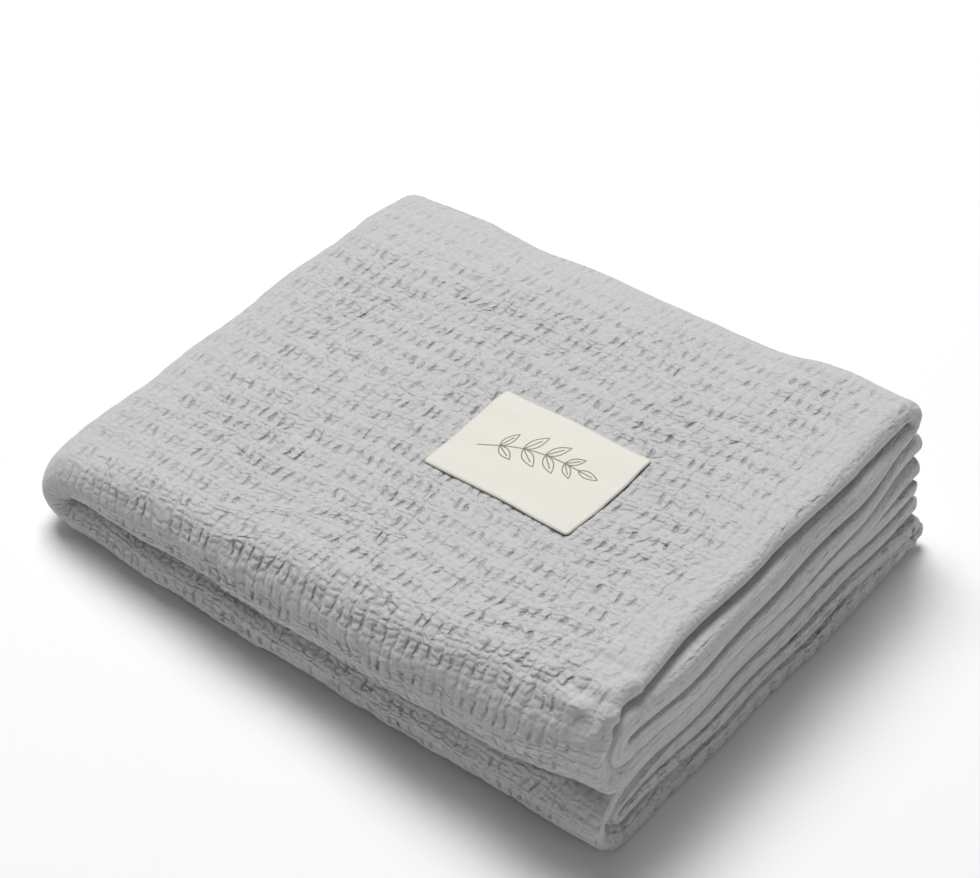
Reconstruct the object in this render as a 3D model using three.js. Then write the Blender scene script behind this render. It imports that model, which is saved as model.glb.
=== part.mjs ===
import * as THREE from 'three';
import { mergeVertices } from 'three/addons/utils/BufferGeometryUtils.js';

// A knitted baby blanket of about 750 x 1000 mm with a woven label sewn on its top.
// Both short ends are folded to the middle, which makes a double cloth with two rounded ends.
// The double cloth is closed in half and in half again across the width: four rows of it,
// with smooth rounded noses along the front. Last, the whole is closed in half along its
// length: an upper and a lower packet, joined round the left end and open at the right end.
// Millimetres, Z up. While it is shaped, x runs from the closed left end to the open right end
// and y from the long front side to the back.

// Folded size
const LENGTH = 265;
const WIDTH = 188;

// Cloth, pressed together at the closed left end and loftier at the open right end
const THICKNESS = { left: 1.9, right: 2.9 };
const PAIR_GAP = { left: 0.4, right: 0.5 };
const ROW_GAP = { left: 0.4, right: 0.7 };
const HEM_ROUNDING = 0.45;

// The rows of double cloth, 1 the outermost of its packet, 4 the one beside the other packet.
// across: place over the width, 0 at the front. short: how far the rounded right end stops
// short of the folded length. open: air inside the rounded end. gap: air to the next row inward.
const ROWS = [
  { packet: 'upper', row: 1, across: 0.00, short: 9.0, open: 0.4, gap: 0.1 },
  { packet: 'upper', row: 1, across: 0.22, short: 11.0, open: 0.2, gap: 0.3 },
  { packet: 'upper', row: 1, across: 0.45, short: 10.5, open: 0.2, gap: 0.3 },
  { packet: 'upper', row: 1, across: 0.65, short: 8.5, open: 0.8, gap: 0.5 },
  { packet: 'upper', row: 1, across: 1.00, short: 8.5, open: 2.2, gap: 0.4 },
  { packet: 'upper', row: 2, across: 0.00, short: 6.0, open: 3.6, gap: 1.0 },
  { packet: 'upper', row: 2, across: 0.30, short: 5.5, open: 5.0, gap: 1.0 },
  { packet: 'upper', row: 2, across: 0.50, short: 5.5, open: 5.0, gap: 1.0 },
  { packet: 'upper', row: 2, across: 0.75, short: 6.0, open: 3.1, gap: 1.0 },
  { packet: 'upper', row: 2, across: 1.00, short: 6.5, open: 2.0, gap: 0.8 },
  { packet: 'upper', row: 3, across: 0.00, short: 5.5, open: 1.6, gap: 0.8 },
  { packet: 'upper', row: 3, across: 0.35, short: 4.5, open: 1.7, gap: 0.8 },
  { packet: 'upper', row: 3, across: 0.70, short: 5.0, open: 1.9, gap: 0.6 },
  { packet: 'upper', row: 3, across: 1.00, short: 5.5, open: 2.6, gap: 0.5 },
  { packet: 'upper', row: 4, across: 0.00, short: 6.0, open: 1.6, gap: 0.8 },
  { packet: 'upper', row: 4, across: 0.35, short: 5.0, open: 1.0, gap: 0.5 },
  { packet: 'upper', row: 4, across: 0.70, short: 4.5, open: 1.6, gap: 0.5 },
  { packet: 'upper', row: 4, across: 1.00, short: 6.0, open: 2.4, gap: 0.5 },
  { packet: 'lower', row: 1, across: 0.00, short: 6.5, open: 3.2, gap: 0.1 },
  { packet: 'lower', row: 1, across: 0.40, short: 4.5, open: 4.2, gap: 0.1 },
  { packet: 'lower', row: 1, across: 0.75, short: 2.5, open: 4.0, gap: 0.1 },
  { packet: 'lower', row: 1, across: 1.00, short: 1.5, open: 3.0, gap: 0.2 },
  { packet: 'lower', row: 2, across: 0.00, short: 7.0, open: 0.6, gap: 0.0 },
  { packet: 'lower', row: 2, across: 0.50, short: 6.5, open: 0.8, gap: 0.1 },
  { packet: 'lower', row: 2, across: 1.00, short: 5.5, open: 0.3, gap: 0.0 },
  { packet: 'lower', row: 3, across: 0.00, short: 7.5, open: 0.6, gap: 0.0 },
  { packet: 'lower', row: 3, across: 0.50, short: 7.0, open: 0.6, gap: 0.0 },
  { packet: 'lower', row: 3, across: 1.00, short: 6.5, open: 0.4, gap: 0.1 },
  { packet: 'lower', row: 4, across: 0.00, short: 7.5, open: 0.8, gap: 0.0 },
  { packet: 'lower', row: 4, across: 0.50, short: 7.5, open: 0.9, gap: 0.0 },
  { packet: 'lower', row: 4, across: 1.00, short: 7.0, open: 1.0, gap: 0.0 },
];

// Outlines of the long sides along the length: the noses of the two packets, how far the upper
// one sags over the lower one, the back of the folded rows 1 and 2, and of the two inner hems
const LONG_SIDES = [
  { along: 0.00, lowerNose: 3.0, upperNose: 6.0, sag: 0.0, back: 192, hemThree: 187, hemFour: 185 },
  { along: 0.20, lowerNose: 3.0, upperNose: 2.5, sag: 2.0, back: 192, hemThree: 187, hemFour: 183 },
  { along: 0.40, lowerNose: 0.0, upperNose: 0.5, sag: 4.0, back: 190, hemThree: 184, hemFour: 185 },
  { along: 0.60, lowerNose: 0.0, upperNose: -2.5, sag: 5.0, back: 188.5, hemThree: 185.5, hemFour: 183 },
  { along: 0.80, lowerNose: -1.8, upperNose: -4.5, sag: 4.5, back: 187.5, hemThree: 184.5, hemFour: 184.5 },
  { along: 1.00, lowerNose: -1.5, upperNose: -2.5, sag: 2.0, back: 187.5, hemThree: 185.5, hemFour: 184 },
];

// The closed left end over the width, and the air that lifts its rows apart towards the back
const LEFT_END = [
  { across: 0.0, left: 0.0, lift: 0.0 },
  { across: 0.3, left: 2.5, lift: 0.3 },
  { across: 0.6, left: 6.0, lift: 0.7 },
  { across: 0.9, left: 9.0, lift: 1.2 },
  { across: 1.0, left: 11.0, lift: 1.1 },
];
const HEM_FROM_BEND = 3;

// Woven label: its middle, its turn about Z in degrees, and the gap that its sewing leaves below it
const LABEL = { width: 66, depth: 44, thickness: 1.0, x: 164, y: 87.5, turn: -4, lift: 0.35 };
const LABEL_STEPS = { width: 8, depth: 6 };
const LABEL_CORNER = 1.2;

// Mesh fineness
const LENGTH_STOPS = [0.16, 0.33, 0.5, 0.67, 0.84];
const WIDTH_STOPS = [0.12, 0.25, 0.38, 0.5, 0.62, 0.75, 0.88];
const TURN_STEPS = { nose: 8, backLoop: 6, leftWrap: 8, endLoop: 6 };
const JOIN_DISTANCE = 1e-3;

const COLOURS = { cloth: 0xc2c2c2, label: 0xe9e5da };

function mix(from, to, share) {
  return from + (to - from) * share;
}

function clamp(value, low, high) {
  return Math.min(high, Math.max(low, value));
}

function range(steps) {
  return Array.from({ length: steps - 1 }, (_, index) => (index + 1) / steps);
}

// Smooth reading of one column of a table between its rows
function readTable(rows, key, at, column) {
  const last = rows[rows.length - 1];
  if (at >= last[key]) {
    return last[column];
  }
  const upper = Math.max(1, rows.findIndex((row) => row[key] > at));
  const before = rows[upper - 1];
  const after = rows[upper];
  const share = clamp((at - before[key]) / (after[key] - before[key]), 0, 1);
  const eased = share * share * (3 - 2 * share);
  return mix(before[column], after[column], eased);
}

function alongShare(x) {
  return clamp(x / LENGTH, 0, 1);
}

function acrossShare(y) {
  return clamp(y / WIDTH, 0, 1);
}

function thicknessAt(x) {
  return mix(THICKNESS.left, THICKNESS.right, alongShare(x));
}

const ROW_TABLES = Object.fromEntries(['upper', 'lower'].map((packet) => [
  packet,
  [1, 2, 3, 4].map((row) => ROWS.filter((entry) => entry.packet === packet && entry.row === row)),
]));

function rowValue(packet, row, across, column) {
  return readTable(ROW_TABLES[packet][row - 1], 'across', across, column);
}

function longSide(x, column) {
  return readTable(LONG_SIDES, 'along', alongShare(x), column);
}

// Depths of a packet's four rows below its outer face: where each starts and how thick it is
function packetRows(packet, x, y) {
  const share = alongShare(x);
  const across = acrossShare(y);
  const pair = 2 * thicknessAt(x) + mix(PAIR_GAP.left, PAIR_GAP.right, share);
  const lift = readTable(LEFT_END, 'across', across, 'lift') * (1 - share);
  const gap = mix(ROW_GAP.left, ROW_GAP.right, share) + lift;
  const starts = [];
  const thicks = [];
  let depth = 0;
  for (const row of [1, 2, 3, 4]) {
    const thick = pair + rowValue(packet, row, across, 'open') * share;
    starts.push(depth);
    thicks.push(thick);
    depth += thick + (gap + rowValue(packet, row, across, 'gap') * share) * (row < 4);
  }
  const toOther = gap + rowValue(packet, 4, across, 'gap') * share * (packet === 'upper');
  return { starts, thicks, total: depth, toOther };
}

// Middle line of the front noses and of the back loop of a packet
function bendLines(packet, x) {
  const front = packetRows(packet, x, 0);
  const back = packetRows(packet, x, WIDTH);
  const nose = longSide(x, `${packet}Nose`) + front.total / 2;
  const loop = longSide(x, 'back') - (back.starts[1] + back.thicks[1]) / 2;
  return { nose, loop, hemThree: longSide(x, 'hemThree'), hemFour: longSide(x, 'hemFour') };
}

// Stops over the cloth's width: from the hem of row 4 at the back to the front, round the outer
// nose, along row 1, round the back loop, along row 2, round the inner nose, to the hem of row 3
function widthStops() {
  const flat = (row, from, to) => [0, ...WIDTH_STOPS, 1].map((share) => ({ kind: 'flat', row, from, to, share }));
  const bend = (kind, steps, from, to) => range(steps).map((turn) => ({ kind, turn, from, to }));
  return [
    ...flat(4, 'hemFour', 'nose'),
    ...bend('outerNose', TURN_STEPS.nose, 4, 1),
    ...flat(1, 'nose', 'loop'),
    ...bend('backLoop', TURN_STEPS.backLoop, 1, 2),
    ...flat(2, 'loop', 'nose'),
    ...bend('innerNose', TURN_STEPS.nose, 2, 3),
    ...flat(3, 'nose', 'hemThree'),
  ];
}

// Stops over the cloth's length: from the hem inside the left end along the upper inner leaf,
// round the upper end loop, back along the outer leaf, round the left end, and the same below
function lengthStops() {
  const outward = [0, ...LENGTH_STOPS, 1];
  const inward = [...outward].reverse();
  const leaf = (packet, inner, shares) => shares.map((share) => ({ kind: 'leaf', packet, inner, share }));
  const loop = (packet, turns) => turns.map((turn) => ({ kind: 'endLoop', packet, turn }));
  const endTurns = range(TURN_STEPS.endLoop);
  return [
    ...leaf('upper', true, outward),
    ...loop('upper', [...endTurns].reverse()),
    ...leaf('upper', false, inward),
    ...range(TURN_STEPS.leftWrap).map((turn) => ({ kind: 'leftWrap', turn })),
    ...leaf('lower', false, outward),
    ...loop('lower', endTurns),
    ...leaf('lower', true, inward),
  ];
}

function stopRows(stop) {
  return stop.kind === 'flat' ? { from: stop.row, to: stop.row, turn: 0 } : stop;
}

// The line over the width that a stop belongs to
function stopLine(stop, packet, x) {
  const lines = bendLines(packet, x);
  if (stop.kind === 'flat') {
    return mix(lines[stop.from], lines[stop.to], stop.share);
  }
  return stop.kind === 'backLoop' ? lines.loop : lines.nose;
}

// Thickness of the double cloth at a stop
function pairThickness(stop, packet, x) {
  const rows = packetRows(packet, x, stopLine(stop, packet, x));
  const ends = stopRows(stop);
  return mix(rows.thicks[ends.from - 1], rows.thicks[ends.to - 1], ends.turn);
}

// Place over the width, and depth in the packet, of a depth in the double cloth
function placeInPacket(stop, packet, x, pairDepth) {
  const line = stopLine(stop, packet, x);
  const { starts, thicks, total } = packetRows(packet, x, line);
  if (stop.kind === 'flat') {
    const row = stop.row - 1;
    const outerFaceDown = stop.row === 2 || stop.row === 4;
    const depth = outerFaceDown ? starts[row] + thicks[row] - pairDepth : starts[row] + pairDepth;
    return { y: line, depth };
  }
  const angle = Math.PI * (stop.turn - 0.5);
  if (stop.kind === 'outerNose') {
    const radius = total / 2 - pairDepth;
    return { y: line - radius * Math.cos(angle), depth: total / 2 - radius * Math.sin(angle) };
  }
  if (stop.kind === 'backLoop') {
    const middle = (starts[1] + thicks[1]) / 2;
    const radius = middle - pairDepth;
    return { y: line + radius * Math.cos(angle), depth: middle + radius * Math.sin(angle) };
  }
  const middle = (starts[1] + thicks[1] + starts[2]) / 2;
  const radius = (starts[2] - starts[1] - thicks[1]) / 2 + pairDepth;
  return { y: line - radius * Math.cos(angle), depth: middle + radius * Math.sin(angle) };
}

// Full height of the two packets over a place of the table
function stackHeight(x, y) {
  const upper = packetRows('upper', x, y);
  const lower = packetRows('lower', x, y);
  return lower.total + upper.toOther + upper.total;
}

// The upper packet sags a little in front of the lower one
function sagAt(x, y) {
  const upperNose = longSide(x, 'upperNose');
  const lowerLine = bendLines('lower', x).nose;
  const share = clamp((lowerLine - y) / (lowerLine - upperNose), 0, 1);
  return longSide(x, 'sag') * share * share;
}

function leftEnd(widthStop) {
  const ends = { nose: 0, outerNose: 0, innerNose: 0, loop: 1, backLoop: 1, hemThree: 1, hemFour: 1 };
  const across = widthStop.kind === 'flat'
    ? mix(ends[widthStop.from], ends[widthStop.to], widthStop.share)
    : ends[widthStop.kind];
  return { across, x: readTable(LEFT_END, 'across', across, 'left') };
}

// Right end of the double cloth at a stop over the width
function rightEnd(widthStop, packet) {
  const { across } = leftEnd(widthStop);
  const ends = stopRows(widthStop);
  const from = rowValue(packet, ends.from, across, 'short');
  const to = rowValue(packet, ends.to, across, 'short');
  return LENGTH - mix(from, to, ends.turn);
}

function clothPoint(lengthStop, widthStop, face) {
  const left = leftEnd(widthStop).x;
  const wrapLine = left + stackHeight(left, 0) / 2;
  if (lengthStop.kind === 'leftWrap') {
    return leftWrapPoint(lengthStop, widthStop, face, wrapLine, left);
  }
  const { packet } = lengthStop;
  const right = rightEnd(widthStop, packet);
  const endThickness = thicknessAt(right);
  const endPair = pairThickness(widthStop, packet, right);
  const loopLine = right - endPair / 2;
  let x = loopLine;
  let sizeX = loopLine;
  let pairDepth = 0;
  if (lengthStop.kind === 'leaf') {
    const start = lengthStop.inner ? wrapLine + HEM_FROM_BEND : wrapLine;
    x = mix(start, loopLine, lengthStop.share);
    sizeX = x;
    const thickness = thicknessAt(x);
    const middle = lengthStop.inner ? pairThickness(widthStop, packet, x) - thickness / 2 : thickness / 2;
    pairDepth = middle + (lengthStop.inner ? -1 : 1) * face * thickness / 2;
  } else {
    const angle = Math.PI * (lengthStop.turn - 0.5);
    const pair = pairThickness(widthStop, packet, loopLine);
    const radius = (pair - endThickness) / 2 - face * endThickness / 2;
    x = loopLine + radius * Math.cos(angle);
    pairDepth = pair / 2 + radius * Math.sin(angle);
  }
  const place = placeInPacket(widthStop, packet, sizeX, pairDepth);
  if (packet === 'lower') {
    return new THREE.Vector3(x, place.y, place.depth);
  }
  const line = stopLine(widthStop, 'upper', sizeX);
  const top = stackHeight(sizeX, line);
  return new THREE.Vector3(x, place.y, top - place.depth - sagAt(sizeX, place.y));
}

// Round the closed left end only the outer leaf of the double cloth goes
function leftWrapPoint(lengthStop, widthStop, face, wrapLine, left) {
  const pairDepth = thicknessAt(wrapLine) * (1 + face) / 2;
  const upper = placeInPacket(widthStop, 'upper', wrapLine, pairDepth);
  const lower = placeInPacket(widthStop, 'lower', wrapLine, pairDepth);
  const angle = Math.PI * (0.5 - lengthStop.turn);
  const top = stackHeight(wrapLine, stopLine(widthStop, 'upper', wrapLine));
  const depth = mix(upper.depth, lower.depth, lengthStop.turn);
  const radius = top / 2 - depth;
  const y = mix(upper.y, lower.y, lengthStop.turn);
  const sag = sagAt(wrapLine, upper.y) * (1 - lengthStop.turn);
  const reach = (wrapLine - left) / (top / 2);
  return new THREE.Vector3(
    wrapLine - radius * Math.cos(angle) * reach,
    y,
    top / 2 + radius * Math.sin(angle) - sag,
  );
}

// A closed sheet from two grids of points and a rounded rim between them
function sheetGeometry(upper, lower, rounding) {
  const rows = upper.length;
  const columns = upper[0].length;
  const triangles = [];
  const quad = (a, b, c, d) => {
    triangles.push(a, b, c, a, c, d);
  };
  for (let row = 0; row < rows - 1; row += 1) {
    for (let column = 0; column < columns - 1; column += 1) {
      quad(upper[row][column], upper[row + 1][column], upper[row + 1][column + 1], upper[row][column + 1]);
      quad(lower[row][column + 1], lower[row + 1][column + 1], lower[row + 1][column], lower[row][column]);
    }
  }
  const border = [];
  for (let row = 0; row < rows - 1; row += 1) {
    border.push([row, 0]);
  }
  for (let column = 0; column < columns - 1; column += 1) {
    border.push([rows - 1, column]);
  }
  for (let row = rows - 1; row > 0; row -= 1) {
    border.push([row, columns - 1]);
  }
  for (let column = columns - 1; column > 0; column -= 1) {
    border.push([0, column]);
  }
  const rim = border.map(([row, column]) => {
    const top = upper[row][column];
    const bottom = lower[row][column];
    const innerRow = clamp(row, 1, rows - 2);
    const innerColumn = clamp(column, 1, columns - 2);
    const middle = top.clone().add(bottom).multiplyScalar(0.5);
    const inner = upper[innerRow][innerColumn].clone().add(lower[innerRow][innerColumn]).multiplyScalar(0.5);
    const outward = middle.clone().sub(inner).normalize();
    const point = middle.addScaledVector(outward, rounding * top.distanceTo(bottom));
    return { top, bottom, point };
  });
  rim.forEach((here, index) => {
    const next = rim[(index + 1) % rim.length];
    quad(here.top, here.point, next.point, next.top);
    quad(here.point, here.bottom, next.bottom, next.point);
  });
  const positions = triangles.flatMap((point) => [point.x, point.y, point.z]);
  const geometry = new THREE.BufferGeometry();
  geometry.setAttribute('position', new THREE.Float32BufferAttribute(positions, 3));
  return mergeVertices(geometry, JOIN_DISTANCE);
}

// The faces point out: a sheet that came out inside out is turned over
function faceOutward(geometry) {
  const position = geometry.getAttribute('position');
  const index = geometry.getIndex();
  const corner = [new THREE.Vector3(), new THREE.Vector3(), new THREE.Vector3()];
  let volume = 0;
  for (let start = 0; start < index.count; start += 3) {
    corner.forEach((point, step) => point.fromBufferAttribute(position, index.getX(start + step)));
    volume += corner[0].dot(corner[1].clone().cross(corner[2])) / 6;
  }
  if (volume < 0) {
    for (let start = 0; start < index.count; start += 3) {
      const second = index.getX(start + 1);
      index.setX(start + 1, index.getX(start + 2));
      index.setX(start + 2, second);
    }
  }
  return geometry;
}

function blanketGrid(face) {
  const along = lengthStops();
  return widthStops().map((widthStop) => along.map((lengthStop) => clothPoint(lengthStop, widthStop, face)));
}

function labelPoint(across, along, height) {
  const turn = THREE.MathUtils.degToRad(LABEL.turn);
  const cut = 1 - LABEL_CORNER / LABEL.width;
  const offCorner = Math.abs(across) === 1 && Math.abs(along) === 1 ? cut : 1;
  const localX = across * offCorner * LABEL.width / 2;
  const localY = along * offCorner * LABEL.depth / 2;
  const x = LABEL.x + localX * Math.cos(turn) - localY * Math.sin(turn);
  const y = LABEL.y + localX * Math.sin(turn) + localY * Math.cos(turn);
  return new THREE.Vector3(x, y, stackHeight(x, y) + LABEL.lift + height);
}

function labelGrid(height) {
  const stops = (steps) => Array.from({ length: steps + 1 }, (_, index) => 2 * index / steps - 1);
  return stops(LABEL_STEPS.depth).map((along) => (
    stops(LABEL_STEPS.width).map((across) => labelPoint(across, along, height))
  ));
}

function namedMesh(name, geometry, colour) {
  geometry.computeVertexNormals();
  const material = new THREE.MeshStandardMaterial({ color: colour, roughness: 0.9, metalness: 0 });
  const mesh = new THREE.Mesh(geometry, material);
  mesh.name = name;
  return mesh;
}

const blanketGeometry = faceOutward(sheetGeometry(blanketGrid(1), blanketGrid(-1), HEM_ROUNDING));
const labelGeometry = faceOutward(sheetGeometry(labelGrid(LABEL.thickness), labelGrid(0), 0));

// The origin is the middle of the underside
blanketGeometry.computeBoundingBox();
const box = blanketGeometry.boundingBox;
const shift = new THREE.Vector3(-(box.min.x + box.max.x) / 2, -(box.min.y + box.max.y) / 2, -box.min.z);
blanketGeometry.translate(shift.x, shift.y, shift.z);
labelGeometry.translate(shift.x, shift.y, shift.z);

const blanket = new THREE.Group();
blanket.name = 'knitted_blanket';
blanket.add(namedMesh('blanket', blanketGeometry, COLOURS.cloth));
blanket.add(namedMesh('label', labelGeometry, COLOURS.label));

export default blanket;
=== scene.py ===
import math

import bmesh
import bpy
import numpy as np
from mathutils import Matrix, Vector


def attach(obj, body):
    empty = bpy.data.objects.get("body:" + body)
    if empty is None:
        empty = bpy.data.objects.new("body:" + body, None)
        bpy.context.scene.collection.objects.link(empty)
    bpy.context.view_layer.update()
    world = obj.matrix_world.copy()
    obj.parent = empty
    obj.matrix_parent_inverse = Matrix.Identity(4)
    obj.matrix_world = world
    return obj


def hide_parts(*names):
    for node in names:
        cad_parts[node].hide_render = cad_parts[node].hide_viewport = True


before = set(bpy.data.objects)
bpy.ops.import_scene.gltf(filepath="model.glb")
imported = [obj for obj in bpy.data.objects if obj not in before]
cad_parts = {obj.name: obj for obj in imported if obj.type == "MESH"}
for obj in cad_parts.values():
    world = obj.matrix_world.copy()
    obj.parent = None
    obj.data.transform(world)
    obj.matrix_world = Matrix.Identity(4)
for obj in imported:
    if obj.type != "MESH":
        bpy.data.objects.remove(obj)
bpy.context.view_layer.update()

MM = 0.001

# A baby blanket of cotton cellular knit, folded sixteen layers thick, with a woven label on it.
# The folds are the frame's, in millimetres, with the rows a little closer at the open end: x runs
# from the closed left end to the open right end, y from the smooth front side to the back, z up.
# Both short ends are folded to the middle (double cloth), the double cloth is closed in half twice
# over its width (four rows), and the whole once along its length (an upper and a lower packet).

# Folded size, and where its front left corner lies in the frame
LENGTH = 265.0
WIDTH = 188.0
FULL_HEIGHT = 70.0
CORNER = (-131.73, -93.38, 0.0)

# Cloth, pressed together at the closed left end and loftier at the open right end
THICKNESS = {"left": 1.9, "right": 2.9}
PAIR_GAP = {"left": 0.4, "right": 0.85}
ROW_GAP = {"left": 0.4, "right": 0.35}
HEM_FROM_BEND = 3.0

# The rows of double cloth, from the outermost of each packet inward. At places across the width, as
# shares of it: how far the rounded right end stops short of the folded length, the air inside that
# end, and the air to the next row.
ROW_COLUMNS = ("across", "short", "open", "gap")
ROWS = {
    "upper": (
        ((0.00, 9.0, 0.2, 0.3), (0.22, 11.0, 0.0, 0.5), (0.45, 10.5, 0.0, 0.5),
         (0.65, 8.5, 1.0, 0.3), (1.00, 10.5, 2.2, 0.4)),
        ((0.00, 6.0, 4.6, 0.0), (0.30, 5.5, 6.0, 0.0), (0.50, 5.5, 6.0, 0.0),
         (0.75, 6.0, 4.0, 0.1), (1.00, 8.8, 2.0, 0.8)),
        ((0.00, 5.5, 2.4, 0.0), (0.35, 4.5, 2.4, 0.1), (0.70, 5.0, 2.4, 0.1), (1.00, 8.0, 2.6, 0.5)),
        ((0.00, 6.0, 2.2, 0.2), (0.35, 5.0, 1.4, 0.1), (0.70, 4.5, 2.0, 0.1), (1.00, 7.5, 2.4, 0.5)),
    ),
    "lower": (
        ((0.00, 7.5, 3.2, 0.1), (0.40, 6.0, 4.2, 0.1), (0.75, 4.5, 4.0, 0.1), (1.00, 6.0, 3.0, 0.2)),
        ((0.00, 8.0, 0.6, 0.0), (0.50, 6.8, 0.8, 0.1), (1.00, 4.8, 0.3, 0.0)),
        ((0.00, 8.5, 0.6, 0.0), (0.50, 7.4, 0.6, 0.0), (1.00, 6.0, 0.4, 0.1)),
        ((0.00, 9.0, 0.8, 0.0), (0.50, 8.0, 0.9, 0.0), (1.00, 7.0, 1.0, 0.0)),
    ),
}

# Outlines of the long sides: the noses of the two packets, how far the upper one sags, the back of
# the folded rows 1 and 2, and of the two inner hems
SIDE_COLUMNS = ("along", "lower_nose", "upper_nose", "sag", "back", "hem_three", "hem_four")
LONG_SIDES = (
    (0.00, 3.0, 6.0, 0.0, 192.0, 187.0, 185.0),
    (0.20, 3.0, 2.5, 2.0, 192.0, 187.0, 183.0),
    (0.40, 0.0, 0.5, 4.0, 190.0, 184.0, 185.0),
    (0.60, 0.0, -2.5, 5.0, 188.5, 185.5, 183.0),
    (0.80, -1.8, -4.5, 4.5, 187.5, 184.5, 184.5),
    (1.00, -1.5, -2.5, 2.0, 187.5, 185.5, 184.0),
)

# The closed left end over the width, and the air that lifts its rows apart
END_COLUMNS = ("across", "left", "lift")
LEFT_END = (
    (0.0, -2.0, 0.0),
    (0.3, 4.0, 0.3),
    (0.6, 6.3, 0.7),
    (0.9, 10.8, 1.2),
    (1.0, 12.5, 1.1),
)

# The inner nose of a packet fills its outer one: how far it reaches past the bend's middle line at
# the right end. The rounded ends of the rows, 1 to 4, are blunt at the front and at the back, and
# the upper packet's first one is pinched: 1 would be a half circle, more is pointed.
INNER_NOSE_REACH = 3.2
BLUNT_NOSE = {"upper": 0.6, "lower": 1.0}
BLUNT_END = {
    "upper": {"front": (1.25, 0.30, 0.18, 0.18), "back": (0.9, 0.75, 0.75, 0.75)},
    "lower": {"front": (0.20, 0.12, 0.12, 0.12), "back": (0.28, 0.22, 0.22, 0.22)},
}
BLUNT_BACK_FROM = 0.6

# Where the cloth's own lines lie. u runs along the blanket and is x on the top; v runs over its
# width, 0 where the top goes over into the front nose. These are the ends of its parts inside.
U_INSIDE = {"lower": -515.0, "upper": 500.0}
V_INSIDE = {"row_four": -235.0, "row_two": 360.0, "inner_nose": 370.0, "row_three": 540.0}
# Rough places along u: middle lines of the left bend and of the right ends, the bend's length, and
# where the rounded right end of each packet is over
ROUGH = {"wrap": 23.0, "loop": 253.0, "bend": 57.0, "upper": 268.0, "lower": -285.0}
# The stretches of the width in the order of v, each with the rows that it joins: one row where it
# lies flat, two where it turns round the front nose, the back loop or the inner nose
STRETCHES = {
    "row_four": (4, 4), "nose": (4, 1), "row_one": (1, 1), "loop": (1, 2), "row_two": (2, 2),
    "inner_nose": (2, 3), "row_three": (3, 3),
}

# Seed and number of waves of each uneven field
NOISES = {
    "stack_up": (11, 7), "stack_back": (12, 7), "stack_along": (13, 7), "patches": (21, 9),
    "sway_u": (31, 7), "sway_u_fine": (32, 9), "sway_v": (33, 7), "sway_v_fine": (34, 9),
    "label_ends": (41, 5), "label_face": (42, 6), "lumps": (52, 9), "puckers": (61, 9),
}
BUMP_SEED = 51


def table(columns, rows):
    return [dict(zip(columns, row)) for row in rows]


ROW_TABLES = {packet: [table(ROW_COLUMNS, places) for places in rows] for packet, rows in ROWS.items()}
SIDE_TABLE = table(SIDE_COLUMNS, LONG_SIDES)
END_TABLE = table(END_COLUMNS, LEFT_END)


def mix(start, end, share):
    return start + (end - start) * share


def unit(share):
    return np.clip(share, 0.0, 1.0)


def ease(share):
    share = unit(share)
    return share * share * (3.0 - 2.0 * share)


def fade(value, start, reach):
    """0 up to a place and 1 from its reach on, smoothly; a reach below 0 lies the other way."""
    return ease((value - start) / reach)


def between(value, start, end, reach, end_reach=None):
    """1 between two places, falling smoothly to 0 at each of them over its reach."""
    return fade(value, start, reach) * fade(value, end, -(end_reach or reach))


def soft_noise(name, *coordinates):
    """Smooth uneven field from about -1 to 1: a few seeded waves, one unit long and more."""
    seed, waves = NOISES[name]
    rng = np.random.default_rng(seed)
    total = 0.0
    for _ in range(waves):
        direction = rng.normal(size=len(coordinates))
        direction *= rng.uniform(0.45, 1.0) / np.linalg.norm(direction)
        phase = rng.uniform(0.0, 2.0 * math.pi)
        total = total + np.sin(2.0 * math.pi * sum(d * c for d, c in zip(direction, coordinates)) + phase)
    return total / math.sqrt(waves)


def read_table(rows, key, at, column):
    """Smooth reading of one column of a table between its rows."""
    keys = np.array([row[key] for row in rows])
    values = np.array([row[column] for row in rows])
    at = np.clip(at, keys[0], keys[-1])
    upper = np.clip(np.searchsorted(keys, at, side="right"), 1, len(keys) - 1)
    share = (at - keys[upper - 1]) / (keys[upper] - keys[upper - 1])
    return mix(values[upper - 1], values[upper], ease(share))


def along_share(x):
    return unit(x / LENGTH)


def thickness_at(x):
    return mix(THICKNESS["left"], THICKNESS["right"], along_share(x))


def row_value(packet, row, across, column):
    return read_table(ROW_TABLES[packet][row - 1], "across", across, column)


def long_side(x, column):
    return read_table(SIDE_TABLE, "along", along_share(x), column)


def packet_rows(packet, x, y):
    """Depths of a packet's four rows below its outer face: starts, thicknesses, total, and the gap
    to the other packet."""
    share = along_share(x)
    across = unit(y / WIDTH)
    pair = 2.0 * thickness_at(x) + mix(PAIR_GAP["left"], PAIR_GAP["right"], share)
    lift = read_table(END_TABLE, "across", across, "lift") * (1.0 - share)
    gap = mix(ROW_GAP["left"], ROW_GAP["right"], share) + lift
    starts, thicks = [], []
    depth = np.zeros(np.broadcast(x, y).shape)
    for row in (1, 2, 3, 4):
        thick = pair + row_value(packet, row, across, "open") * share
        starts.append(depth)
        thicks.append(thick)
        depth = depth + thick
        if row < 4:
            depth = depth + gap + row_value(packet, row, across, "gap") * share
    to_other = gap + (row_value(packet, 4, across, "gap") * share if packet == "upper" else 0.0)
    return {"starts": starts, "thicks": thicks, "total": depth, "to_other": to_other}


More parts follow.
